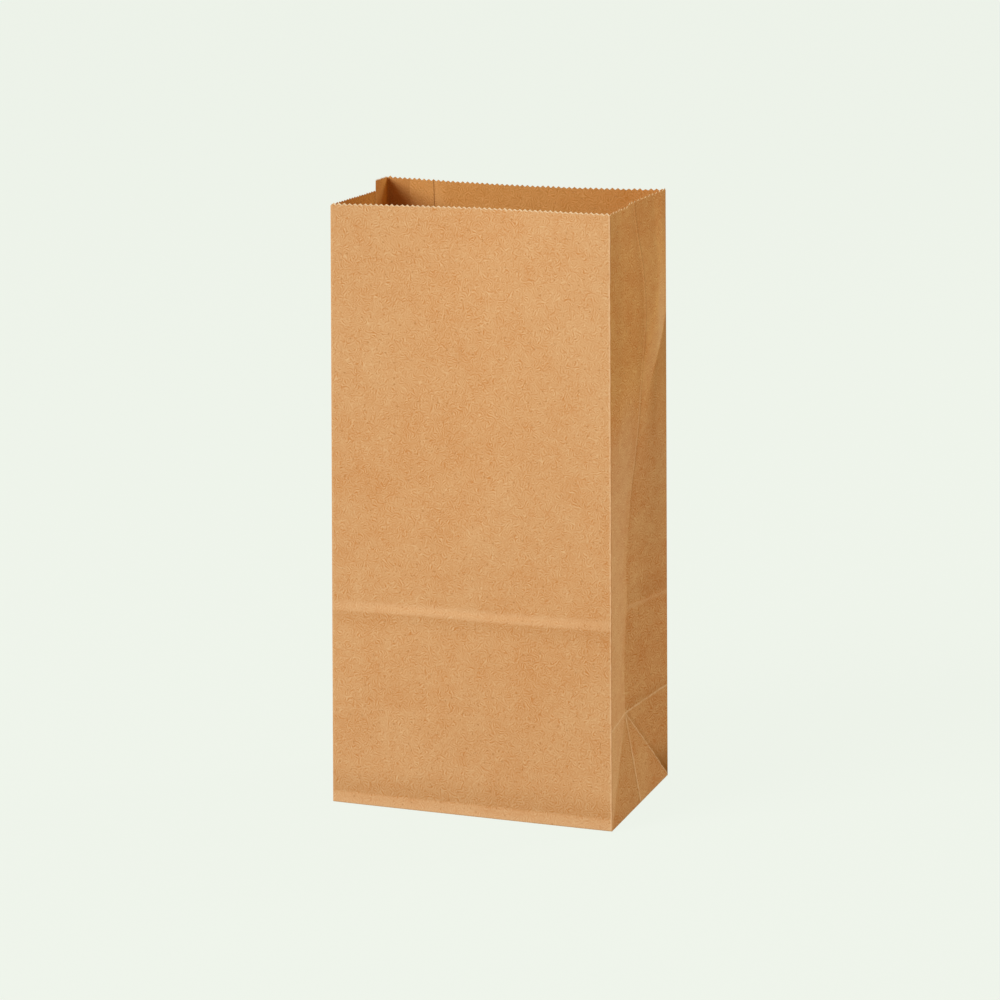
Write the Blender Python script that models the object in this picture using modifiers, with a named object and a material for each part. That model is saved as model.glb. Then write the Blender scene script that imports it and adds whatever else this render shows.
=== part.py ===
# Flat-bottom paper bag, standing open with a pinked mouth.
# One sheet of kraft paper: folded to a gusseted tube, lapped and glued down the back, its lower end
# tucked and folded over as the bottom. Width runs along X, the front panel faces -Y, +Z is up.
import math

import bmesh
import bpy
from mathutils import Vector

mm = 0.001

# the sheet and the tube it is folded to
paper_thickness = 0.15 * mm
panel_width = 154.0 * mm
gusset_depth = 102.0 * mm
crease_radius = 0.8 * mm

# how far each corner crease stands off the true rectangle, at the bottom and at the mouth
front_left_shift = (Vector((1.95, 1.6)) * mm, Vector((3.85, 4.0)) * mm)
front_right_shift = (Vector((1.85, 1.0)) * mm, Vector((0.55, -1.2)) * mm)
back_right_shift = (Vector((0.95, 0.8)) * mm, Vector((-2.35, -1.0)) * mm)
back_left_shift = (Vector((1.75, 0.9)) * mm, Vector((-2.95, 1.2)) * mm)

# the mouth: height at the front left corner, and how much higher the cut is further round
mouth_height = 315.0 * mm
front_right_rise = 1.8 * mm
right_fold_rise = 0.8 * mm
right_step_rise = 1.8 * mm
back_right_rise = 2.0 * mm
back_left_rise = 2.6 * mm
left_step_rise = 7.4 * mm
left_fold_rise = 1.1 * mm

# pinked teeth of the cut
tooth_pitch = 2.85 * mm
tooth_depth = 1.0 * mm

# how far the long edges of the mouth sag inward and dip
front_sag = 5.5 * mm
back_sag = 7.5 * mm
front_dip = 0.5 * mm
back_dip = 0.7 * mm

# the front stands this much fuller below the upper crease
crease_step = 0.7 * mm
crease_height = 5.0 * mm

# lap glued down the back: how far its outer edge is from the back left corner, and its width
lap_start = 14.26 * mm
lap_width = 14.26 * mm
lap_edge = 0.3 * mm

# the folded bottom
bottom_rounding = 0.5 * mm
flap_overlap = 12.0 * mm
flap_inset = 0.4 * mm
flap_ramp = 4.0 * mm

# creases that the flat folding left across the tube
low_crease = gusset_depth / 2
high_crease = gusset_depth
flap_length = gusset_depth / 2 + flap_overlap

# centre folds of the gussets: share of the mouth's height, and how far the fold stands outward
# as a share of the gusset's depth
right_fold = [(0, 0), (0.162, -0.083), (0.244, -0.078), (0.330, -0.071), (0.416, -0.075),
              (0.517, -0.069), (0.584, -0.058), (0.651, -0.046), (0.717, -0.029), (0.765, -0.003),
              (0.832, 0.024), (0.867, 0.033), (0.898, 0.029), (0.946, 0.015), (0.987, 0.0),
              (1.05, -0.019)]
left_fold = [(0, 0), (0.162, -0.082), (0.330, -0.075), (0.444, -0.082), (0.698, -0.086),
             (0.832, -0.084), (1.05, -0.097)]


def corner_of(right, back, shift):
    """Plan points of a corner crease at the bottom and at the mouth."""
    true = Vector((right * panel_width / 2, back * gusset_depth / 2))
    return true + shift[0], true + shift[1]


front_left = corner_of(-1, -1, front_left_shift)
front_right = corner_of(1, -1, front_right_shift)
back_right = corner_of(1, 1, back_right_shift)
back_left = corner_of(-1, 1, back_left_shift)


def between(table, height):
    """How far a gusset's fold stands outward at a height."""
    share = height / mouth_height
    for (low, first), (high, second) in zip(table, table[1:]):
        if share <= high:
            return (first + (second - first) * (share - low) / (high - low)) * gusset_depth
    return table[-1][1] * gusset_depth


def corner(crease, height):
    return crease[0].lerp(crease[1], height / mouth_height)


def gusset_point(start, end, outward, fold, share, height):
    """Point of a gusset. share runs 0 to 1 from one corner to the other, the fold is at a half."""
    near = 1 - abs(2 * share - 1)
    if height < low_crease:
        depth = between(fold, low_crease) * min(near, height / low_crease)
    else:
        depth = between(fold, height) * near
    return start.lerp(end, share) + outward * depth


def sag(share, lean, power):
    return max(0.0, math.sin(math.pi * share ** lean)) ** power


def panel_point(panel, share, height):
    """Plan point of the outside of the paper on a panel, share 0 to 1 anticlockwise."""
    fl, fr, br, bl = (corner(c, height) for c in (front_left, front_right, back_right, back_left))
    rise = (height / mouth_height) ** 2
    if panel == "front":
        fullness = crease_step * sag(share, 1.0, 0.5)
        if height > high_crease:
            fullness *= max(0.0, 1 - (height - high_crease) / crease_height)
        elif height < low_crease:
            fullness *= height / low_crease
        point = fl.lerp(fr, share)
        point.y += front_sag * rise * sag(share, 0.8, 1.3) - fullness
        return point
    if panel == "back":
        point = br.lerp(bl, share)
        point.y -= back_sag * rise * sag(1 - share, 1.15, 1.0)
        over_lap = (1 - share - lap_teeth[0] / half_teeth["back"]) * panel_width / lap_edge
        point.y += paper_thickness * min(1.0, max(0.0, over_lap)) * min(1.0, share * 4)
        return point
    first = panel.endswith("first half")
    share = share / 2 if first else 0.5 + share / 2
    if panel.startswith("right"):
        return gusset_point(fr, br, Vector((1, 0)), right_fold, share, height)
    return gusset_point(bl, fl, Vector((-1, 0)), left_fold, share, height)


panels = ["front", "right first half", "right second half", "back",
          "left first half", "left second half"]
long_teeth = 2 * round(panel_width / tooth_pitch)
short_teeth = 2 * round(gusset_depth / 2 / tooth_pitch)
half_teeth = {p: short_teeth if p.endswith("half") else long_teeth for p in panels}
lap_teeth = (round(2 * lap_start / tooth_pitch), round(2 * (lap_start + lap_width) / tooth_pitch))
mouth_rises = {
    "front": (0.0, front_right_rise),
    "right first half": (front_right_rise, right_fold_rise),
    "right second half": (right_step_rise, back_right_rise),
    "back": (back_right_rise, back_left_rise),
    "left first half": (back_left_rise, left_step_rise),
    "left second half": (left_fold_rise, 0.0),
}


def columns_of(panel):
    """Shares of a panel's width where the loft has a column; all but the lap edges are on teeth."""
    count = half_teeth[panel]
    cells = 4 if panel.endswith("half") else 9 if panel == "front" else 12
    shares = {round(k * count / cells) / count for k in range(cells + 1)}
    if panel == "back":
        shares = {s for s in shares if all(abs(count - s * count - t) > 2 for t in lap_teeth)}
        for t in lap_teeth:
            shares |= {1 - t / count, 1 - t / count - lap_edge / panel_width}
    return sorted(shares)


def cut_height(panel, share):
    """Height of the pinked cut along a panel."""
    start, end = mouth_rises[panel]
    height = mouth_height + start + (end - start) * share
    if panel == "front":
        height -= front_dip * sag(share, 0.8, 1.3)
    if panel == "back":
        height -= back_dip * sag(share, 1.0, 0.3)
    tooth = share * half_teeth[panel] % 2
    return height + tooth_depth * (1 - abs(tooth - 1))


def rounded(panel, share, height, radius):
    """Panel point, drawn in from the panel's two ends by the radius of the creases there."""
    start, end = panel_point(panel, 0, height), panel_point(panel, 1, height)
    keep = radius / (end - start).length
    return panel_point(panel, keep + share * (1 - 2 * keep), height)


def outline(height):
    """Plan points round the bag at one height: each panel's columns, then the crease after it."""
    points = []
    for panel, after in zip(panels, panels[1:] + panels[:1]):
        points += [rounded(panel, s, height, crease_radius) for s in columns_of(panel)]
        tip = panel_point(panel, 1, height)
        ends = points[-1] + rounded(after, 0, height, crease_radius)
        points.append(tip * 0.42 + ends * 0.29)
    return points


def drawn_in(plan, distance):
    """The same closed outline, each point moved inward."""
    moved = []
    for before, point, following in zip(plan[-1:] + plan[:-1], plan, plan[1:] + plan[:1]):
        along = (following - before).normalized()
        moved.append(point + Vector((-along.y, along.x)) * distance)
    return moved


def crossing_cells():
    """Columns whose cells the diagonal creases cross, with the row they cross and the way."""
    cells = {}
    place = 0
    for panel in panels:
        count = len(columns_of(panel))
        if panel.endswith("half"):
            rising = panel.endswith("first half")
            for k in range(count - 1):
                row = k if rising else count - 2 - k
                cells[(place + k, row + 1)] = rising
        place += count + 1
    return cells


def loft_heights():
    """Heights of the loft's rings: the foot, the diagonals, the creases, the folds' tables."""
    heights = [2 * paper_thickness, 2 * paper_thickness + bottom_rounding]
    heights += [low_crease * s for s in columns_of("right first half")[1:]]
    heights += [low_crease * 1.5, high_crease - 4 * mm, high_crease, high_crease + crease_height]
    for share, offset in right_fold[4:-2]:
        heights.append(share * mouth_height)
    heights.append(mouth_height - 6 * mm)
    return heights


def make_walls():
    rows = loft_heights()
    build = bmesh.new()
    rings = []
    for height in rows:
        plan = outline(height)
        if height == rows[0]:
            plan = drawn_in(plan, bottom_rounding)
        rings.append([build.verts.new((p.x, p.y, height)) for p in plan])
    count = len(rings[0])
    crossed = crossing_cells()
    for row, (low, high) in enumerate(zip(rings, rings[1:])):
        for k in range(count):
            a, b, c, d = low[k], low[(k + 1) % count], high[(k + 1) % count], high[k]
            rising = crossed.get((k, row)) if row else None
            if rising is None:
                build.faces.new((a, b, c, d))
            elif rising:
                build.faces.new((a, b, c))
                build.faces.new((a, c, d))
            else:
                build.faces.new((a, b, d))
                build.faces.new((b, c, d))

    # the mouth: a band of many-sided faces whose upper edges are the teeth
    top = rings[-1]
    place = 0
    edge_lines = []
    for panel, after in zip(panels, panels[1:] + panels[:1]):
        shares = columns_of(panel)
        teeth = [i / half_teeth[panel] for i in range(half_teeth[panel] + 1)]
        for low, high in zip(shares, shares[1:]):
            inner = [s for s in teeth if low + 1e-6 < s < high - 1e-6]
            line = []
            for s in [low] + inner + [high]:
                height = cut_height(panel, s)
                first = rounded(panel, low, height, crease_radius)
                second = rounded(panel, high, height, crease_radius)
                p = first.lerp(second, (s - low) / (high - low))
                line.append(Vector((p.x, p.y, height)))
            edge_lines.append(line)
        height = cut_height(after, 0)
        tip = panel_point(panel, 1, height)
        ends = rounded(panel, 1, height, crease_radius) + rounded(after, 0, height, crease_radius)
        bend = tip * 0.42 + ends * 0.29
        bend = Vector((bend.x, bend.y, height))
        after_point = rounded(after, 0, height, crease_radius)
        edge_lines.append([edge_lines[-1][-1], bend])
        edge_lines.append([bend, Vector((after_point.x, after_point.y, height))])
    start = build.verts.new(edge_lines[0][0])
    previous = start
    for k, line in enumerate(edge_lines):
        upper = [previous] + [build.verts.new(p) for p in line[1:]]
        if k == len(edge_lines) - 1:
            build.verts.remove(upper[-1])
            upper[-1] = start
        build.faces.new([top[k], top[(k + 1) % count]] + upper[::-1])
        previous = upper[-1]

    # the floor, parted where the tucked side flaps end on the inside
    build.faces.new(rings[0][::-1])
    build.normal_update()
    middle = (front_left[0].x + front_right[0].x) / 2
    reach = (front_right[0].x - front_left[0].x) / 2 - flap_length
    for x in (middle - reach, middle - reach - lap_edge, middle + reach, middle + reach + lap_edge):
        floor = [f for f in build.faces if max(v.co.z for v in f.verts) < 2.5 * paper_thickness]
        geometry = floor + [e for f in floor for e in f.edges] + [v for f in floor for v in f.verts]
        bmesh.ops.bisect_plane(build, geom=list(dict.fromkeys(geometry)), dist=1e-7,
                               plane_co=(x, 0, 0), plane_no=(1, 0, 0))
    mesh = bpy.data.meshes.new("paper_bag")
    build.to_mesh(mesh)
    build.free()
    bag = bpy.data.objects.new("paper_bag", mesh)
    collection.objects.link(bag)

    # layers: one sheet for the walls, two along the lap and in the floor under the side flaps
    layers = bag.vertex_groups.new(name="layers")
    for v in mesh.vertices:
        tucked = v.co.z < 2.5 * paper_thickness and abs(v.co.x - middle) > reach + lap_edge / 2
        layers.add([v.index], 1.0 if tucked else 0.5, "REPLACE")
    lapped = [1 - t / half_teeth["back"] for t in lap_teeth[::-1]]
    before_back = sum(len(columns_of(p)) + 1 for p in panels[:3])
    for k, share in enumerate(columns_of("back")):
        if lapped[0] - 1e-6 < share < lapped[1] - 1e-6:
            for ring in range(1, len(rows)):
                layers.add([ring * count + before_back + k], 1.0, "REPLACE")
    for v in mesh.vertices[len(rows) * count:]:
        start, end = (rounded("back", s, v.co.z, crease_radius).x for s in lapped)
        if v.co.y > 0 and v.co.z > mouth_height and end + lap_edge / 2 < v.co.x < start + lap_edge / 2:
            layers.add([v.index], 1.0, "REPLACE")
    return bag


def make_flap(name, points, cuts, lower):
    """Flap of the folded bottom: a flat outline, cut across at given depths, lowered by a rule."""
    build = bmesh.new()
    build.faces.new([build.verts.new((x, y, 2.5 * paper_thickness)) for x, y in points])
    for y in cuts:
        bmesh.ops.bisect_plane(build, geom=build.verts[:] + build.edges[:] + build.faces[:],
                               dist=1e-7, plane_co=(0, y, 0), plane_no=(0, 1, 0))
    grown = bmesh.ops.extrude_face_region(build, geom=build.faces[:])
    for v in grown["geom"]:
        if isinstance(v, bmesh.types.BMVert):
            v.co.z = lower(v.co.y)
    bmesh.ops.recalc_face_normals(build, faces=build.faces[:])
    mesh = bpy.data.meshes.new(name)
    build.to_mesh(mesh)
    build.free()
    flap = bpy.data.objects.new(name, mesh)
    collection.objects.link(flap)
    return flap


def join(target, tool):
    union = target.modifiers.new("join " + tool.name, "BOOLEAN")
    union.operation = "UNION"
    union.solver = "EXACT"
    union.object = tool
    bpy.context.view_layer.objects.active = target
    bpy.ops.object.modifier_apply(modifier=union.name)
    bpy.data.objects.remove(tool)


for old in list(bpy.data.objects):
    bpy.data.objects.remove(old)
collection = bpy.data.collections.new("paper_bag")
bpy.context.scene.collection.children.link(collection)

bag = make_walls()
sheet = bag.modifiers.new("sheet", "SOLIDIFY")
sheet.thickness = 2 * paper_thickness
sheet.offset = -1
sheet.use_even_offset = True
sheet.vertex_group = "layers"
bpy.context.view_layer.objects.active = bag
bpy.ops.object.modifier_apply(modifier=sheet.name)

left = front_left[0].x + flap_inset
right = front_right[0].x - flap_inset
front = front_right[0].y + 2 * flap_inset
back = back_right[0].y - 1.5 * flap_inset
edge_y = front + flap_length
edge_width = right - left - 2 * flap_length
flap_teeth = 2 * round(edge_width / tooth_pitch)
teeth = [(right - flap_length - edge_width * k / flap_teeth,
          edge_y + (tooth_depth if k % 2 else 0)) for k in range(flap_teeth + 1)]
front_flap = make_flap("front flap", [(left, front), (right, front)] + teeth, [],
                       lambda y: 0.0)


def back_flap_depth(y):
    climb = (edge_y + tooth_depth + flap_ramp - y) / flap_ramp
    return paper_thickness * min(1.0, max(0.0, climb))


reach = back - edge_y + flap_overlap + 2 * mm
back_flap = make_flap("back flap",
                      [(right, back), (left, back), (left + reach, back - reach),
                       (right - reach, back - reach)],
                      [edge_y + tooth_depth + flap_ramp, edge_y + tooth_depth], back_flap_depth)
join(bag, back_flap)
join(bag, front_flap)

paper = bpy.data.materials.new("kraft paper")
paper.use_nodes = True
shader = paper.node_tree.nodes["Principled BSDF"]
shader.inputs["Base Color"].default_value = (0.47, 0.27, 0.13, 1)
shader.inputs["Roughness"].default_value = 0.85
bag.data.materials.clear()
bag.data.materials.append(paper)
for face in bag.data.polygons:
    face.material_index = 0
bag.vertex_groups.clear()
print("paper bag:", len(bag.data.vertices), "points")
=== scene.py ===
# Flat-bottom kraft paper bag, standing open with a pinked mouth.
import math
import bpy
from mathutils import Matrix, Vector, noise


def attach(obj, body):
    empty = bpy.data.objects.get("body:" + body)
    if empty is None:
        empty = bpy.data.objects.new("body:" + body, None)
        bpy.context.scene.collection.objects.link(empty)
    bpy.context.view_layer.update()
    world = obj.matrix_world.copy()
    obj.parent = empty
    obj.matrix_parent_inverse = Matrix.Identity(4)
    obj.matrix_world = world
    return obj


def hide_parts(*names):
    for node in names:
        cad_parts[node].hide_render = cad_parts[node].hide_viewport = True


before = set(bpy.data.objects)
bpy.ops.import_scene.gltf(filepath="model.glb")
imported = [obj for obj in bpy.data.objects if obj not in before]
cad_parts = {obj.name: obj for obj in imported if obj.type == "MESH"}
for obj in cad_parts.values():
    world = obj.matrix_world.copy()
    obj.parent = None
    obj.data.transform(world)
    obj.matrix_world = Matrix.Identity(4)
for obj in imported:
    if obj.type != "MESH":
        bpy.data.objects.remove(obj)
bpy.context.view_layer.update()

mm = 0.001

view = {
    "place": (0.564163, -1.591413, 0.528637),
    "turn": 19.4862,          # degrees round the bag from its front
    "tilt": 12.392,           # degrees downward
    "roll": -0.2195,
    "lens": 118.8,
}

# the folded sheet, in millimetres
bag = {
    # corner creases seen from above: at the bottom, at the mouth
    "frontLeft": ((-75.6, -49.6), (-73.15, -47.0)),
    "frontRight": ((79.5, -51.2), (77.65, -52.2)),
    "backRight": ((78.5, 51.6), (75.5, 50.0)),
    "backLeft": ((-75.25, 51.9), (-80.7, 52.2)),
    "height": 315.0,
    # the cut along each panel at the teeth's valleys: share of its width, height
    "mouth": {
        "front": ((0, 315.8), (1, 317.1)),
        "rightFront": ((0, 317.1), (0.7, 316.2), (0.76, 317.1), (1, 317.1)),
        "rightBack": ((0, 317.1), (1, 317.6)),
        "back": ((0, 317.5), (1, 318.3)),
        "leftBack": ((0, 317.9), (1, 322.1)),
        "leftFront": ((0, 317.0), (1, 315.45)),
    },
    "toothDepth": 1.0,
    "leftToothDepth": 0.6,
    "toothPitch": 2.85,
    "frontSag": 5.5,          # how far the mouth's long edges bow inward
    "backSag": 7.5,
    "frontDip": 0.05,
    "backDip": 0.7,
    "lowCrease": 51.0,
    "highCrease": 102.0,
    # the creases lie askew: place along the sheet, rise of the low and of the high one
    "askew": ((28.5, 0, 0), (79.5, -2.8, 1.0), (130.5, 1.0, 2.2), (184, 2.0, 3.3), (223, 3.0, 2.8),
              (284.5, 2.0, 3.9), (335.5, -2.8, 2.0), (386.5, 0, 0)),
    "creaseStep": 0.7,
    "creaseRadius": 0.45,
    "footFlare": 0.35,
    "footTurn": 0.3,          # how far the sheet turns under at the foot
    "turnHeight": 0.45,
    # centre folds of the gussets: height, how far the fold stands outward
    "rightFold": [(0, 0), (51, -8.5), (77, -8.9), (104, -7.4), (131, -7.5), (150, -6.1),
                  (168, -4.6), (184, -2.5), (200, -0.7), (216, 0.7), (232, 1.7), (248, 3.2),
                  (260, 3.6), (272, 3.2), (287, 1.9), (300, -0.5), (311, -1.9), (325, -3.2)],
    "leftFold": [(0, 0), (51, -8.4), (104, -7.6), (140, -8.4), (220, -8.8), (262, -8.6),
                 (325, -9.0)],
    "paper": 0.14,
    "lapGap": 0.17,           # the outer layer of the lap stands this far out
    "lapLift": 0.14,          # the inner layer's free edge comes up by this much
    "waves": 0.3,
}

# the flaps folded under and glued, in millimetres
bottom = {
    "reach": 63.0,            # from the foot to a flap's free edge
    "backReach": 51.4,
    "inset": 0.2,             # a flap's fold line lies this far inside the foot
    "ramp": (14.8, 18.8),     # the back flap comes down to the table between these
    "frontHeight": 0.0,
    "backHeight": 0.15,
    "tuckHeight": 0.30,
}

# the panels in their order round the sheet, their widths and teeth in halves
panels = ["leftBack", "leftFront", "front", "rightFront", "rightBack", "back"]
widths = {"leftBack": 51.0, "leftFront": 51.0, "front": 154.0, "rightFront": 51.0,
          "rightBack": 51.0, "back": 154.0}
halfTeeth = {"leftBack": 36, "leftFront": 36, "front": 108, "rightFront": 36,
             "rightBack": 36, "back": 108}
outward = {"leftBack": (-1, 0), "leftFront": (-1, 0), "left": (-1, 0), "front": (0, -1),
           "rightFront": (1, 0), "rightBack": (1, 0), "right": (1, 0), "back": (0, 1)}
lapHalves = (9, 19)           # the lap's two edges, in half teeth from the back left corner
lapStart = widths["back"] * 20 / 108     # that corner's place along the flat sheet
starts = {panel: lapStart + sum(widths[p] for p in panels[:k]) for k, panel in enumerate(panels)}


def smooth(value, low, high):
    t = min(1.0, max(0.0, (value - low) / (high - low)))
    return t * t * (3 - 2 * t)


def softMin(a, b, width):
    h = max(width - abs(a - b), 0.0) / width
    return min(a, b) - h * h * width / 4


def foldOffset(table, z):
    # a smooth curve through the table's heights, straight up to the low crease
    for k in range(len(table) - 1):
        (z0, a), (z1, b) = table[k], table[k + 1]
        if z > z1:
            continue
        t = (z - z0) / (z1 - z0)
        if k == 0:
            return a + (b - a) * t
        zBefore, before = table[k - 1]
        zAfter, after = table[min(k + 2, len(table) - 1)]
        slopeIn = 0.0 if k == 1 else (b - before) / (z1 - zBefore) * (z1 - z0)
        slopeOut = (after - a) / (zAfter - z0) * (z1 - z0)
        return ((2 * t ** 3 - 3 * t ** 2 + 1) * a + (t ** 3 - 2 * t ** 2 + t) * slopeIn
                + (3 * t ** 2 - 2 * t ** 3) * b + (t ** 3 - t ** 2) * slopeOut)
    return table[-1][1]


def cornerAt(name, z):
    foot, top = Vector(bag[name][0]), Vector(bag[name][1])
    return foot.lerp(top, z / bag["height"])


def bow(share, lean, power):
    # a sag that is nothing at both ends of a panel
    return max(0.0, math.sin(math.pi * min(1.0, max(0.0, share)) ** lean)) ** power


def gussetPoint(start, end, out, fold, share, z):
    near = 1 - abs(2 * share - 1)
    low = bag["lowCrease"]
    if z < low:
        depth = foldOffset(fold, low) * softMin(near, max(z, 0) / low, 0.03)
    else:
        depth = foldOffset(fold, z) * near
    return start.lerp(end, share) + out * depth


def panelPoint(panel, share, z):
    # the outside of the paper, seen from above
    fl, fr, br, bl = (cornerAt(c, z) for c in ("frontLeft", "frontRight", "backRight", "backLeft"))
    if panel in ("front", "back"):
        rise = (max(z, 0) / bag["height"]) ** 2
        full = bag["creaseStep"] * bow(share, 1.0, 0.5) * min(1.0, z / bag["lowCrease"])
        full *= 1 - smooth(z, bag["highCrease"], bag["highCrease"] + 5)
        full += bag["footFlare"] * bow(share, 1.0, 0.3) * (1 - smooth(z, 0.5, 4.5))
        if panel == "front":
            point = fl.lerp(fr, share)
            point.y += bag["frontSag"] * rise * bow(share, 0.8, 1.3) - full
        else:
            point = br.lerp(bl, share)
            point.y += full - bag["backSag"] * rise * bow(1 - share, 1.15, 1.0)
        return point
    share = share / 2 + (0.5 if panel in ("rightBack", "leftFront") else 0.0)
    if panel.startswith("right"):
        return gussetPoint(fr, br, Vector((1, 0)), bag["rightFold"], share, z)
    return gussetPoint(bl, fl, Vector((-1, 0)), bag["leftFold"], share, z)


def besideCrease(panel, share, z):
    keep = bag["creaseRadius"] / widths[panel]
    return panelPoint(panel, keep + share * (1 - 2 * keep), z)


def askew(along, z):
    # how far the slanting creases carry a place up
    for (a, low, high), (b, lowNext, highNext) in zip(bag["askew"], bag["askew"][1:]):
        if a <= along <= b:
            t = (along - a) / (b - a)
            low, high = low + (lowNext - low) * t, high + (highNext - high) * t
            break
    else:
        return 0.0
    if z < bag["lowCrease"]:
        return low * z / bag["lowCrease"]
    if z < bag["highCrease"]:
        return low + (high - low) * (z - bag["lowCrease"]) / (bag["highCrease"] - bag["lowCrease"])
    return high * max(0.0, 1 - (z - bag["highCrease"]) / 100)


def cutHeight(panel, share, toothed):
    line = bag["mouth"][panel]
    for (a, start), (b, end) in zip(line, line[1:]):
        if share <= b:
            z = start + (end - start) * (share - a) / (b - a)
            break
    if panel == "front":
        z -= bag["frontDip"] * bow(share, 0.8, 1.3)
    if panel == "back":
        z -= bag["backDip"] * bow(share, 1.0, 0.3)
    if toothed:
        tooth = share * halfTeeth[panel] % 2
        depth = bag["leftToothDepth"] if panel == "leftFront" else bag["toothDepth"]
        ragged = noise.noise(Vector((starts[panel] * 0.9 + share * widths[panel] * 0.45, 4.7, 1.3)))
        z += depth * (1 - abs(tooth - 1)) * (1 + 0.3 * ragged) + 0.1 * ragged
    return z


def paperWave(point, z, share):
    # the paper doesn't lie quite flat between its creases
    calm = bow(share, 1.0, 0.7) * smooth(z, 0, 20) * bag["waves"]
    place = Vector((point.x, point.y, z))
    wave = noise.noise(place * 0.021 + Vector((3.1, 7.7, 1.9)))
    ripple = noise.noise(place * 0.07 + Vector((9.3, 2.2, 5.1)))
    return (wave * 1.6 + ripple * 0.35) * calm


def sheetColumns():
    # panel, share of its width, panel after a crease, place along the flat sheet, lift outward
    keep = bag["creaseRadius"]
    columns = []
    first = 108 - lapHalves[1]
    for i in range(first, 109):
        along = lapStart - widths["back"] + keep + i / 108 * (widths["back"] - 2 * keep)
        lift = -bag["lapLift"] * (1 - smooth(i, first, first + 2))
        columns.append(("back", i / 108, None, along, lift))
    for k, panel in enumerate(panels):
        for t in (0.3, 0.7):
            columns.append((panels[k - 1], t, panel, starts[panel] + (t - 0.5) * keep, 0.0))
        last = 108 - lapHalves[0] if panel == "back" else halfTeeth[panel]
        for i in range(last + 1):
            share = i / halfTeeth[panel]
            along = starts[panel] + keep + share * (widths[panel] - 2 * keep)
            lift = smooth(i, 40, first - 2) * bag["lapGap"] if panel == "back" else 0.0
            columns.append((panel, share, None, along, lift))
    return columns


# the sheet's rows: up to which height, how far apart
rowSteps = ((50.9, 51 / 18), (96, 3.5), (108.6, 0.83), (285, 4.3), (311, 3.4))


def sheetRows():
    # close together at the foot and over the high crease
    rows = [0.03, 0.1, 0.22, bag["turnHeight"]]
    z = bag["lowCrease"] / 18
    while z < rowSteps[-1][0]:
        rows.append(z)
        z += next(step for top, step in rowSteps if z < top)
    return rows


def sheetPoint(column, z):
    panel, share, after, along, lift = column
    if after is None:
        point = besideCrease(panel, share, z)
        out = Vector(outward[panel])
        amount = paperWave(point, z, share) + lift
    else:
        tip = panelPoint(after, 0, z)
        before, behind = besideCrease(panel, 1, z), besideCrease(after, 0, z)
        point = before * (1 - share) ** 2 + tip * 2 * share * (1 - share) + behind * share ** 2
        out = (Vector(outward[panel]) + Vector(outward[after])) / 2
        amount = 0.0
    if z < bag["turnHeight"]:
        amount -= bag["footTurn"] * (1 - math.sqrt(z / bag["turnHeight"]))
    point += out * amount
    return Vector((point.x, point.y, z + askew(along, z))) * mm


def fillSheet(sheet, points, flatPlaces, cuts):
    # moves a grid's points to the folded shape and keeps where each lay on the flat sheet
    mesh = sheet.data
    mesh.uv_layers[0].name = "sheet"
    cut = mesh.attributes.new("cut", "FLOAT", "POINT")
    for vertex, point in zip(mesh.vertices, points):
        vertex.co = point
        cut.data[vertex.index].value = cuts[vertex.index]
    for loop in mesh.loops:
        mesh.uv_layers["sheet"].data[loop.index].uv = flatPlaces[loop.vertex_index]


def addGrid(name, columnCount, rowCount):
    bpy.ops.object.select_all(action="DESELECT")
    bpy.ops.mesh.primitive_grid_add(x_subdivisions=columnCount - 1, y_subdivisions=rowCount - 1,
                                    size=0.3)
    bpy.context.object.name = name
    return bpy.context.object


def foldSheet():
    columns, rows = sheetColumns(), sheetRows()
    upper = 4                                     # rows from the last level one to the cut
    points, flatPlaces, cuts = [], [], []
    for j in range(len(rows) + upper):
        for column in columns:
            panel, share, after, along, lift = column
            if after is not None:                 # a crease is cut with its lower side
                panel, share = (after, 0) if panel == "leftBack" else (panel, 1)
            cut = 0.0
            if j < len(rows):
                z = rows[j]
            elif j < len(rows) + upper - 1:
                step = (j - len(rows) + 1) / (upper - 1)
                z = rows[-1] + (cutHeight(panel, share, False) - 0.4 - rows[-1]) * step
            else:
                z = cutHeight(panel, share, True)
                # the gussets' cut is painted pale at the teeth's tips alone, a painted highlight
                valley = panel not in ("front", "back") and round(share * halfTeeth[panel]) % 2 == 0
                cut = 0.3 if valley else 1.0
            cuts.append(cut)
            points.append(sheetPoint(column, z))
            flatPlaces.append((along * mm, z * mm))
    sheet = addGrid("paperBag", len(columns), len(rows) + upper)
    fillSheet(sheet, points, flatPlaces, cuts)
    return sheet


def footLine(side, share):
    # where a flap folds under, seen from above
    if side in ("front", "back"):
        point = besideCrease(side, share, 0.5)
    else:
        ends = ("frontRight", "backRight") if side == "right" else ("backLeft", "frontLeft")
        point = cornerAt(ends[0], 0).lerp(cornerAt(ends[1], 0), 0.008 + 0.984 * share)
    return point - Vector(outward[side]) * bottom["inset"]


def foldFlap(side, reach, drawIn, heightAt):
    # drawIn is how far each end of the free edge comes in
    first, last = footLine(side, 0), footLine(side, 1)
    inward = -Vector(outward[side])
    run = (last - first).normalized()
    width = (last - first).length - 2 * drawIn
    across, along = 2 * round(width / bag["toothPitch"]), 16
    panelStart = starts[{"right": "rightFront", "left": "leftBack"}.get(side, side)]
    points, flatPlaces, cuts = [], [], []
    for j in range(along + 1):
        for i in range(across + 1):
            u, v = 1 - i / across, j / along
            free = first + run * (drawIn + width * u) + inward * reach
            point = footLine(side, u).lerp(free, v)
            if j == along and i % 2:
                point += inward * bag["toothDepth"]
            points.append(Vector((point.x, point.y, heightAt(point.y))) * mm)
            flatPlaces.append(((panelStart + (point - first).dot(run)) * mm, -v * reach * mm))
            cuts.append(1.0 if j == along else 0.0)
    flap = addGrid(side + "Flap", across + 1, along + 1)
    fillSheet(flap, points, flatPlaces, cuts)
    return flap


def backHeight(y):
    return bottom["backHeight"] * (1 - smooth(y, *bottom["ramp"]))


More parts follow.
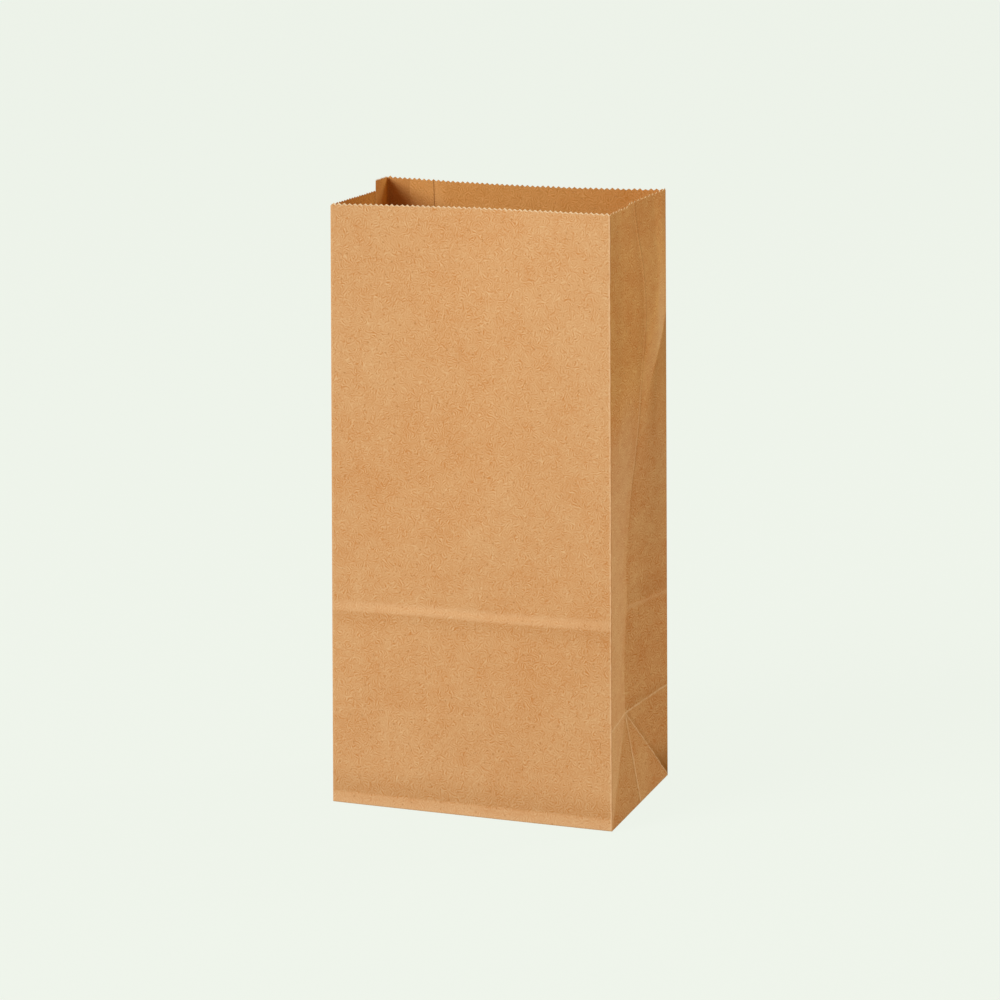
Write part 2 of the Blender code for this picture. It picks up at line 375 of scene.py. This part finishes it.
def makeBag():
    reach = bottom["reach"]
    sheet = foldSheet()
    flaps = [
        foldFlap("right", reach, 0, lambda y: bottom["tuckHeight"]),
        foldFlap("left", reach, 0, lambda y: bottom["tuckHeight"]),
        foldFlap("back", bottom["backReach"], bottom["backReach"], backHeight),
        foldFlap("front", reach, reach, lambda y: bottom["frontHeight"]),
    ]
    bpy.ops.object.select_all(action="DESELECT")
    for piece in flaps + [sheet]:
        piece.select_set(True)
    bpy.context.view_layer.objects.active = sheet
    bpy.ops.object.join()
    thicken = sheet.modifiers.new("paper", "SOLIDIFY")
    thicken.thickness = bag["paper"] * mm
    thicken.offset = -1
    thicken.use_even_offset = True
    thicken.material_offset = 1
    thicken.material_offset_rim = 2
    for material in (paperFinish("kraftOutside", False), paperFinish("kraftInside", True),
                     cutFinish("kraftCut")):
        sheet.data.materials.append(material)
    bpy.ops.object.modifier_apply(modifier=thicken.name)
    bpy.ops.object.shade_smooth_by_angle(angle=math.radians(8))
    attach(sheet, "root")
    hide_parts("paper_bag")
    print("paper bag folded,", len(sheet.data.polygons), "faces")
    return sheet


class Wire:
    # a node's output, so that sums on it add Math nodes
    def __init__(self, tree, output=None):
        self.tree = tree
        self.output = output

    def node(self, kind, settings, sockets, out=0):
        made = self.tree.nodes.new("ShaderNode" + kind)
        for name, value in settings.items():
            setattr(made, name, value)
        for key, value in sockets.items():
            if isinstance(value, Wire):
                self.tree.links.new(value.output, made.inputs[key])
            else:
                made.inputs[key].default_value = value
        return Wire(self.tree, made.outputs[out])

    def other(self, out):
        return Wire(self.tree, self.output.node.outputs[out])

    def sum(self, operation, *values):
        first = values if len(values) > 1 else (self,) + values
        return self.node("Math", {"operation": operation}, dict(enumerate(first)))

    def __add__(self, other):
        return self.sum("ADD", self, other)

    def __radd__(self, other):
        return self.sum("ADD", other, self)

    def __sub__(self, other):
        return self.sum("SUBTRACT", self, other)

    def __rsub__(self, other):
        return self.sum("SUBTRACT", other, self)

    def __mul__(self, other):
        return self.sum("MULTIPLY", self, other)

    def __rmul__(self, other):
        return self.sum("MULTIPLY", other, self)

    def __abs__(self):
        return self.sum("ABSOLUTE")

    def least(self, other):
        return self.sum("MINIMUM", self, other)

    def most(self, other):
        return self.sum("MAXIMUM", self, other)

    def ramp(self, low, high):
        # 0 at low, 1 at high, eased
        return self.node("MapRange", {"interpolation_type": "SMOOTHSTEP"},
                         {"Value": self, "From Min": low, "From Max": high})

    def near(self, place, core, edge):
        # 1 within core of the place, 0 beyond edge
        return abs(self - place).ramp(edge, core)

    def mix(self, first, second):
        # this value mixes two colours
        return self.node("Mix", {"data_type": "RGBA"}, {0: self, 6: first, 7: second}, 2)


kraft = {
    "dark": (0.617, 0.2485, 0.062, 1),     # between the fibres
    "pale": (0.793, 0.5045, 0.241, 1),     # fibres that lie on top
    "gussetShadeTint": (0.985, 0.895, 0.76, 1),  # painted shade: the gussets darker and browner than the front
    "gussetTopShadeTint": (1.015, 0.895, 0.595, 1),  # and more so towards the mouth, painted shade too
    "gussetInsideShade": (1.01, 0.86, 0.43, 1),       # painted shade on the gussets' inside: darker and more orange
    "shade": (0.35, 0.13, 0.010, 1),       # painted shade where the paper is bent away from the light
    # the inside's fibre colours, darker and more orange than the outside's: painted shade of the
    # bag's inside
    "shadedInsideDark": (0.545, 0.212, 0.034, 1),
    "shadedInsidePale": (0.725, 0.352, 0.102, 1),
    # dark specks in the paper, and the painted shade beside the lap
    "speckAndLapShade": (0.50, 0.205, 0.050, 1),
    "paleLitAndWorn": (0.84, 0.54, 0.28, 1),         # pale: painted light on creased facets turned to the light, and crease lines partly rubbed, partly painted highlight
    "cream": (0.87, 0.66, 0.39, 1),        # fibres pulled up by the knife
    # pale tooth tips: a painted highlight on the gussets, the frayed cut on the front's edge
    "tipCream": (1.0, 0.77, 0.43, 1),
    "edge": (0.50, 0.22, 0.07, 1),         # the paper's own thickness
    "fibreScale": 335.0,                   # patches of fibres lying one way, per metre
    "fibreLines": 2.15,                    # fibres side by side in such a patch
    "fibreTurn": 7.5,                      # how much the patches differ in the way they lie
    "fibres": 2.95,
    # the other patterns: patches per metre, strength
    "grain": (1500.0, 0.75),
    "flecks": (190.0, 0.45),
    "clouds": (60.0, 0.6),
    "broad": (12.0, 0.6),
    "specks": (620.0, 0.55),
    "wander": (150.0, 0.8),                # how far a crease wanders, in millimetres
    "roughness": 0.85,
    "gloss": 0.2,
}


def noiseAt(flat, scale, detail=0.0, roughness=0.5, shift=0.0):
    moved = flat.node("Mapping", {}, {"Vector": flat, "Location": (shift, shift * 0.7, 0)})
    return flat.node("TexNoise", {"noise_dimensions": "2D"},
                     {"Vector": moved, "Scale": scale, "Detail": detail, "Roughness": roughness})


def fibreCurls(flat):
    # short fibres that lie every way and are bent a little
    bends = flat.node("TexNoise", {"noise_dimensions": "2D"},
                      {"Vector": flat, "Scale": 250.0, "Detail": 1.0}, 1)
    bent = flat.node("VectorMath", {"operation": "MULTIPLY_ADD"},
                     {0: bends, 1: (0.002, 0.002, 0), 2: flat})
    turn = noiseAt(flat, 190.0, 0.0, 0.5, 21.0) * kraft["fibreTurn"]
    curls = flat.node("TexGabor", {"gabor_type": "2D"},
                      {"Vector": bent, "Scale": kraft["fibreScale"], "Anisotropy": 0.9,
                       "Frequency": kraft["fibreLines"], "Orientation": turn})
    return curls - 0.5


def toothHighlight(along):
    # a painted highlight on every other tooth of the gussets' cut
    pitch = widths["rightBack"] * 2 / halfTeeth["rightBack"]
    return (along * (math.pi / pitch)).sum("SINE").ramp(-0.2, 0.5)


# how strongly each painted mark of the creases shows: painted light and painted shade where the
# creased facets turn towards or away from the light, and pale crease lines
marks = {
    "band": 0.38,             # painted light on the panels over the high crease
    "underBand": 0.2,         # and painted shade under it
    "foot": 0.7,              # pale at the foot
    "footEnd": 0.25,
    "overFoot": 0.33,
    "frontPale": 0.32,        # painted light on the gussets' front half over its slanting fold
    "frontHigh": 0.42,        # less so towards the mouth
    "frontCorner": 0.3,       # and painted shade under the fold
    "backCorner": 0.4,
    "backFoot": 0.15,
    "highLine": 0.3,          # painted light along the high crease on the back half
    "overHigh": 0.2,
    "overLow": 0.25,          # painted shade over the low crease
    "backEnd": 1.6,           # painted shade, darkest in the back bottom corner
    "overSlant": 0.45,
    "bendHeight": 203.0,      # a soft bend rises from the centre fold at this height
    "bendPale": 0.32,
    "overBend": 0.3,
    "underBend": 0.72,
    "farUnderBend": 0.42,
    "besideBack": 0.28,       # painted light beside the back corner, high up
    "besideFront": 0.2,
    "besideFold": 0.25,
    "frontMouth": 0.12,
    "rightFoldPale": 0.5,     # painted light and shade on the two sides of the centre folds
    "rightFoldDark": 0.45,
    "leftFold": 0.5,
    "footFold": 0.3,
    # pale lines along the creases: partly rubbed, partly painted highlight
    "lowRub": 0.85,
    "lowPanelRub": 0.12,
    "highRub": 0.15,
    "backSlantRub": 0.95,
    "frontSlantRub": 0.2,
    "footFoldRub": 0.9,
    "cornerRub": (("front", 1, 0.25), ("rightFront", -1, 0.75), ("leftBack", -1, 0.6),
                  ("back", 1, 0.6)),
}


def creaseShadingAndLines(along, up, inside):
    # painted light and shade of the creases, in millimetres on the flat sheet: where the gussets
    # are, a tone that is painted light where paler and painted shade where darker, and pale crease
    # lines, partly rubbed and partly painted highlight
    low, high, half = bag["lowCrease"], bag["highCrease"], widths["rightBack"]
    fold, otherFold = starts["rightBack"], starts["leftFront"]
    centre = abs(along - otherFold).least(abs(along - fold))
    gusset = centre.ramp(half + 0.3, half - 0.3)
    panel = 1 - gusset
    backHalf = gusset * along.sum("GREATER_THAN", fold).most(along.sum("LESS_THAN", otherFold))
    frontHalf = gusset - backHalf
    band = up.ramp(high - 0.6, high + 0.4) * up.ramp(high + 6.6, high + 4.4)
    underBand = up.ramp(high - 12, high - 0.6) * up.ramp(high + 0.4, high - 0.6)
    foot = up.ramp(6.8, 4.8) * marks["foot"] + up.ramp(4.5, 0.5) * marks["footEnd"]
    foot = foot - up.ramp(22, 7) * marks["overFoot"]
    tone = (band * marks["band"] - underBand * marks["underBand"] + foot) * panel
    # painted light and shade about the slanting folds from the gusset's bottom corners to its
    # centre
    corner = up + centre
    above = corner.ramp(low - 0.3, low + 0.3)
    frontPale = above * (marks["frontPale"] - up.ramp(195, 240) * marks["frontHigh"])
    tone = tone + frontHalf * (frontPale - (1 - above) * marks["frontCorner"])
    backFoot = up.ramp(36, 49) * marks["backCorner"] + marks["backFoot"]
    tone = tone - backHalf * (1 - above) * backFoot
    overHigh = up.ramp(high + 2, high + 4) * up.ramp(high + 20, high + 6)
    overLow = up.ramp(low + 9, low + 0.5) * up.ramp(low - 0.4, low + 0.4)
    overSlant = corner.near(low + 2, 0.5, 3.0) * up.ramp(low + 0.5, low - 0.5)
    tone = tone + backHalf * (up.near(high + 0.8, 0.5, 2.0) * marks["highLine"]
                              - overHigh * marks["overHigh"] - overLow * marks["overLow"]
                              - up.ramp(26, 2) * above * marks["backEnd"]
                              - overSlant * marks["overSlant"])
    # painted light and shade of softer bends higher up: across the back half, beside the corners,
    # along the centre folds
    bend = up - marks["bendHeight"] - (along - fold)
    bent = bend.ramp(-1, 2)
    bendPale = bent * bend.ramp(45, 4) * up.ramp(210, 238) * marks["bendPale"]
    underBend = bend.ramp(-60, -4) * marks["underBend"]
    underBend = underBend + bend.ramp(-170, -60) * marks["farUnderBend"]
    tone = tone + backHalf * (bendPale - bent * bend.ramp(20, 55) * marks["overBend"]
                              - (1 - bent) * underBend * (along - fold).ramp(6, 40))
    tone = tone + gusset * up.ramp(180, 215) * (along.near(373, 4, 9) * marks["besideBack"]
                                                - along.near(289, 8, 18) * marks["besideFront"])
    besideFold = along.ramp(fold - 16, fold) * up.ramp(54, 90)
    tone = tone - frontHalf * (besideFold * marks["besideFold"]
                               + up.ramp(270, 310) * marks["frontMouth"])
    rightFold = (along.near(fold - 1.3, 0.5, 1.4) * marks["rightFoldPale"]
                 - along.near(fold + 0.9, 0.4, 1.5) * marks["rightFoldDark"])
    leftFold = (along.near(otherFold - 1.0, 0.4, 1.2) * marks["leftFold"]
                - along.near(otherFold + 0.9, 0.4, 1.2) * marks["leftFold"])
    footFold = up.ramp(low, low - 3) * along.near(fold - 1.3, 0.4, 1.4) * marks["footFold"]
    tone = tone + gusset * up.ramp(130, 190) * rightFold
    tone = tone + gusset * up.ramp(250, 270) * leftFold
    tone = tone - gusset * footFold
    lines = up.near(low, 0.2, 0.8) * (gusset * marks["lowRub"] + panel * marks["lowPanelRub"])
    lines = lines + up.near(high + 1, 0.3, 1.1) * backHalf * marks["highRub"]
    slant = backHalf * marks["backSlantRub"] + frontHalf * marks["frontSlantRub"]
    lines = lines.most(corner.near(low, 0.2, 0.8) * slant)
    footFold = along.near(fold + 0.4, 0.35, 1.15) * up.ramp(low, low - 2)
    lines = lines.most(footFold * marks["footFoldRub"])
    for place, side, rub in () if inside else marks["cornerRub"]:
        lines = lines.most(along.near(starts[place] + 0.7 * side, 0.2, 0.65) * rub)
    return gusset, tone, lines


def paperFinish(name, inside):
    material = bpy.data.materials.new(name)
    material.use_nodes = True
    shader = material.node_tree.nodes["Principled BSDF"]
    sheet = Wire(material.node_tree).node("UVMap", {"uv_map": "sheet"}, {})
    parts = sheet.node("SeparateXYZ", {}, {"Vector": sheet})
    wander = (noiseAt(sheet, kraft["wander"][0], 1.0, 0.5, 9.0) - 0.5) * kraft["wander"][1]
    along, up = parts * 1000 + wander, parts.other(1) * 1000 + wander
    gusset, creaseLightAndShade, rubbedAndLitLines = creaseShadingAndLines(along, up, inside)
    # the fibres lie longer across the gussets
    flat = sheet.node("CombineXYZ", {}, {"X": parts * (1 - gusset * 0.4), "Y": parts.other(1)})

    curls = fibreCurls(flat) * kraft["fibres"]
    grain = noiseAt(flat, kraft["grain"][0], 2.0, 0.6, 2.0) - 0.5
    flecks = noiseAt(flat, kraft["flecks"][0], 1.0, 0.5, 5.0) - 0.5
    clouds = noiseAt(flat, kraft["clouds"][0], 3.0, 0.55, 8.0) - 0.5
    broad = noiseAt(flat, kraft["broad"][0], 2.0, 0.5, 1.0) - 0.5
    specks = noiseAt(flat, kraft["specks"][0], 0.0, 0.5, 4.0).ramp(0.80, 0.86)
    fine = (curls + grain * kraft["grain"][1]) * (gusset * 0.5 + 1)
    patches = (flecks * kraft["flecks"][1] + clouds * kraft["clouds"][1]
               + broad * kraft["broad"][1])
    tone = fine + patches * (gusset * 1.1 + 1)
    ends = ("shadedInsideDark", "shadedInsidePale") if inside else ("dark", "pale")
    # where the lap's outer layer ends under this one, and where its inner layer ends
    outerEdge, innerEdge = 15.6, starts["back"] + 126.6
    if inside:
        # painted light and shade inside: the left gusset darker towards its centre fold and the
        # front, its back half lighter towards the back corner; painted light beside the lap's inner
        # edge and between the lap's two edges
        gussetInsideShade = along.ramp(132, 128) * along.ramp(26, 30)
        frontHalf = along.ramp(79, 80)
        tone = tone + gussetInsideShade * (1 - frontHalf) * (along.ramp(66, 32) * 1.1 - 0.6)
        tone = tone + gussetInsideShade * frontHalf * (along.ramp(118, 84) * 0.7 - 0.35)
        tone = tone + along.ramp(innerEdge - 10.6, innerEdge - 0.6) * 0.8
        tone = tone + fine * 0.3 + along.ramp(outerEdge, outerEdge - 0.8) * 0.3
    colour = (tone * 0.5 + 0.5).mix(kraft[ends[0]], kraft[ends[1]])
    # painted shade: the gussets' tint, deepest towards the mouth on the outside, darker and more
    # orange on the inside
    tint = kraft["gussetInsideShade"]
    if not inside:
        tint = up.ramp(180, 240).mix(kraft["gussetShadeTint"], kraft["gussetTopShadeTint"])
    colour = sheet.node("Mix", {"data_type": "RGBA", "blend_type": "MULTIPLY"},
                        {0: gusset, 6: colour, 7: tint}, 2)
    # painted light and painted shade where the creased facets turn towards or away from the light
    colour = (creaseLightAndShade * 0.6).mix(colour, kraft["paleLitAndWorn"])
    colour = (creaseLightAndShade * -0.52).mix(colour, kraft["shade"])
    colour = (specks * kraft["specks"][1]).mix(colour, kraft["speckAndLapShade"])
    # pale crease lines, partly rubbed paper and partly painted highlight, broken up by noise
    broken = noiseAt(sheet, 300.0, 2.0, 0.6, 3.0).ramp(0.35, 0.6)
    colour = (rubbedAndLitLines * (broken * 0.6 + 0.4)).mix(colour, kraft["paleLitAndWorn"])
    if inside:
        # painted shade beside the lap: darker from the outer layer's edge to the back corner, a
        # painted shadow line at the inner layer's edge, and a dark painted line along the outer
        # layer's edge
        lapCornerShade = along.ramp(outerEdge - 0.3, outerEdge + 0.4) * along.ramp(28.6, 25.0) * 0.5
        lapShadow = along.near(innerEdge, 0.2, 0.9) * 0.4
        outerEdgeShade = along.near(outerEdge + 0.2, 0.2, 0.9) * 0.6
        colour = lapCornerShade.most(lapShadow).most(outerEdgeShade).mix(colour, kraft["speckAndLapShade"])
    cut = sheet.node("Attribute", {"attribute_name": "cut"}, {}, 2)
    # the front's teeth frayed pale, the gussets' teeth given a painted highlight on every other tip
    frayAndToothHighlight = noiseAt(sheet, 500.0, 1.0, 0.5, 6.0).ramp(0.25, 0.5) * 0.3 + 0.7
    frayAndToothHighlight = cut.ramp(0.3, 0.7) * frayAndToothHighlight * (1 - gusset * (1 - toothHighlight(along)))
    cream = gusset.mix(kraft["cream"], kraft["tipCream"])
    colour = (frayAndToothHighlight * (0.05 if inside else 0.95)).mix(colour, cream)

    height = grain * 0.5 + noiseAt(flat, 650.0, 1.0, 0.5, 11.0) * 0.5 + clouds * 0.5
    normal = sheet.node("Bump", {}, {"Height": height, "Strength": 0.4, "Distance": 0.0001})
    sheet.tree.links.new(colour.output, shader.inputs["Base Color"])
    sheet.tree.links.new(normal.output, shader.inputs["Normal"])
    shader.inputs["Roughness"].default_value = kraft["roughness"]
    shader.inputs["Specular IOR Level"].default_value = kraft["gloss"]
    return material


def cutFinish(name):
    # the raw edge that the knife left, frayed pale on the front, with a painted highlight on every
    # other tooth of the right gusset
    material = bpy.data.materials.new(name)
    material.use_nodes = True
    shader = material.node_tree.nodes["Principled BSDF"]
    sheet = Wire(material.node_tree).node("UVMap", {"uv_map": "sheet"}, {})
    along = sheet.node("SeparateXYZ", {}, {"Vector": sheet}) * 1000
    front = along.ramp(starts["front"] - 1, starts["front"] + 1)
    front = front * along.ramp(starts["rightFront"] + 1, starts["rightFront"] - 1)
    gusset = along.ramp(starts["rightFront"] - 1, starts["rightFront"] + 1)
    gusset = gusset * along.ramp(starts["back"] + 1, starts["back"] - 1)
    ragged = noiseAt(sheet, 500.0, 1.0, 0.5, 6.0).ramp(0.3, 0.6)
    frayAndToothHighlight = front * (ragged * 0.4 + 0.6) + gusset * (toothHighlight(along) * 0.85 + 0.1)
    colour = frayAndToothHighlight.mix(kraft["edge"], kraft["tipCream"])
    sheet.tree.links.new(colour.output, shader.inputs["Base Color"])
    shader.inputs["Roughness"].default_value = 0.9
    shader.inputs["Specular IOR Level"].default_value = kraft["gloss"]
    return material


light = {
    "backdrop": (0.855, 0.905, 0.823, 1),
    "room": 0.50,
    "roomColour": (1.0, 0.74, 0.43, 1),
    "keyPlace": (-1.5, -2.12, 1.85),
    "keySize": 1.5,
    "keyPower": 70.0,
    "keyColour": (0.98, 1.15, 1.40),
    "sidePlace": (1.50, 1.64, 0.75),
    "sideSize": 0.5,
    "sidePower": 20.9,
    "sideColour": (0.78, 0.97, 1.06),
    "floorPaint": (0.44, 0.385, 0.30, 1),
    "floorGlow": (0.899, 0.955, 0.879, 1),  # what the camera sees with the paint's own shade
    "floorShare": 0.92,
}


def addLight(name, place, size, power, colour):
    bpy.ops.object.select_all(action="DESELECT")
    bpy.ops.object.light_add(type="AREA", location=place)
    lamp = bpy.context.object
    lamp.name = name
    lamp.data.size = size
    lamp.data.energy = power
    lamp.data.color = colour
    lamp.rotation_euler = (Vector((0, 0, 0.17)) - Vector(place)).to_track_quat("-Z", "Y").to_euler()


def cameraRays(wire):
    rays = wire.node("LightPath", {}, {})
    camera, glossy, through = (rays.other("Is " + kind + " Ray")
                               for kind in ("Camera", "Glossy", "Transmission"))
    return camera.most(glossy).most(through)


def makeStudio():
    addLight("keyLight", light["keyPlace"], light["keySize"], light["keyPower"], light["keyColour"])
    addLight("sideLight", light["sidePlace"], light["sideSize"], light["sidePower"],
             light["sideColour"])

    world = bpy.data.worlds.new("studio")
    world.use_nodes = True
    bpy.context.scene.world = world
    wire = Wire(world.node_tree)
    room = world.node_tree.nodes["Background"]
    room.inputs["Color"].default_value = light["roomColour"]
    room.inputs["Strength"].default_value = light["room"]
    seen = world.node_tree.nodes.new("ShaderNodeBackground")
    seen.inputs["Color"].default_value = light["backdrop"]
    choose = wire.node("MixShader", {}, {0: cameraRays(wire), 1: Wire(wire.tree, room.outputs[0]),
                                         2: Wire(wire.tree, seen.outputs[0])})
    world.node_tree.links.new(choose.output, world.node_tree.nodes["World Output"].inputs[0])

    bpy.ops.object.select_all(action="DESELECT")
    bpy.ops.mesh.primitive_plane_add(size=40, location=(0, 0, -0.0005))
    floor = bpy.context.object
    floor.name = "studioFloor"
    bpy.ops.object.transform_apply(location=True)
    material = bpy.data.materials.new("palePaint")
    material.use_nodes = True
    nodes = material.node_tree.nodes
    wire = Wire(material.node_tree)
    shader = nodes["Principled BSDF"]
    shader.inputs["Base Color"].default_value = light["floorPaint"]
    shader.inputs["Roughness"].default_value = 1.0
    shader.inputs["Specular IOR Level"].default_value = 0.0
    glow = wire.node("Emission", {}, {"Color": light["floorGlow"], "Strength": 1.0})
    choose = wire.node("MixShader", {}, {0: cameraRays(wire) * light["floorShare"],
                                         1: Wire(wire.tree, shader.outputs[0]), 2: glow})
    wire.tree.links.new(choose.output, nodes["Material Output"].inputs[0])
    floor.data.materials.append(material)
    print("floor and lights placed")


def addCamera():
    bpy.ops.object.camera_add()
    camera = bpy.context.object
    camera.name = "photoView"
    camera.data.lens = view["lens"]
    camera.data.sensor_width = 36.0
    camera.matrix_world = (Matrix.Translation(view["place"])
                           @ Matrix.Rotation(math.radians(view["turn"]), 4, "Z")
                           @ Matrix.Rotation(math.radians(90 - view["tilt"]), 4, "X")
                           @ Matrix.Rotation(math.radians(view["roll"]), 4, "Z"))
    bpy.context.scene.camera = camera
    print("camera placed")


makeBag()
makeStudio()
addCamera()
bpy.context.scene.view_settings.view_transform = "Standard"
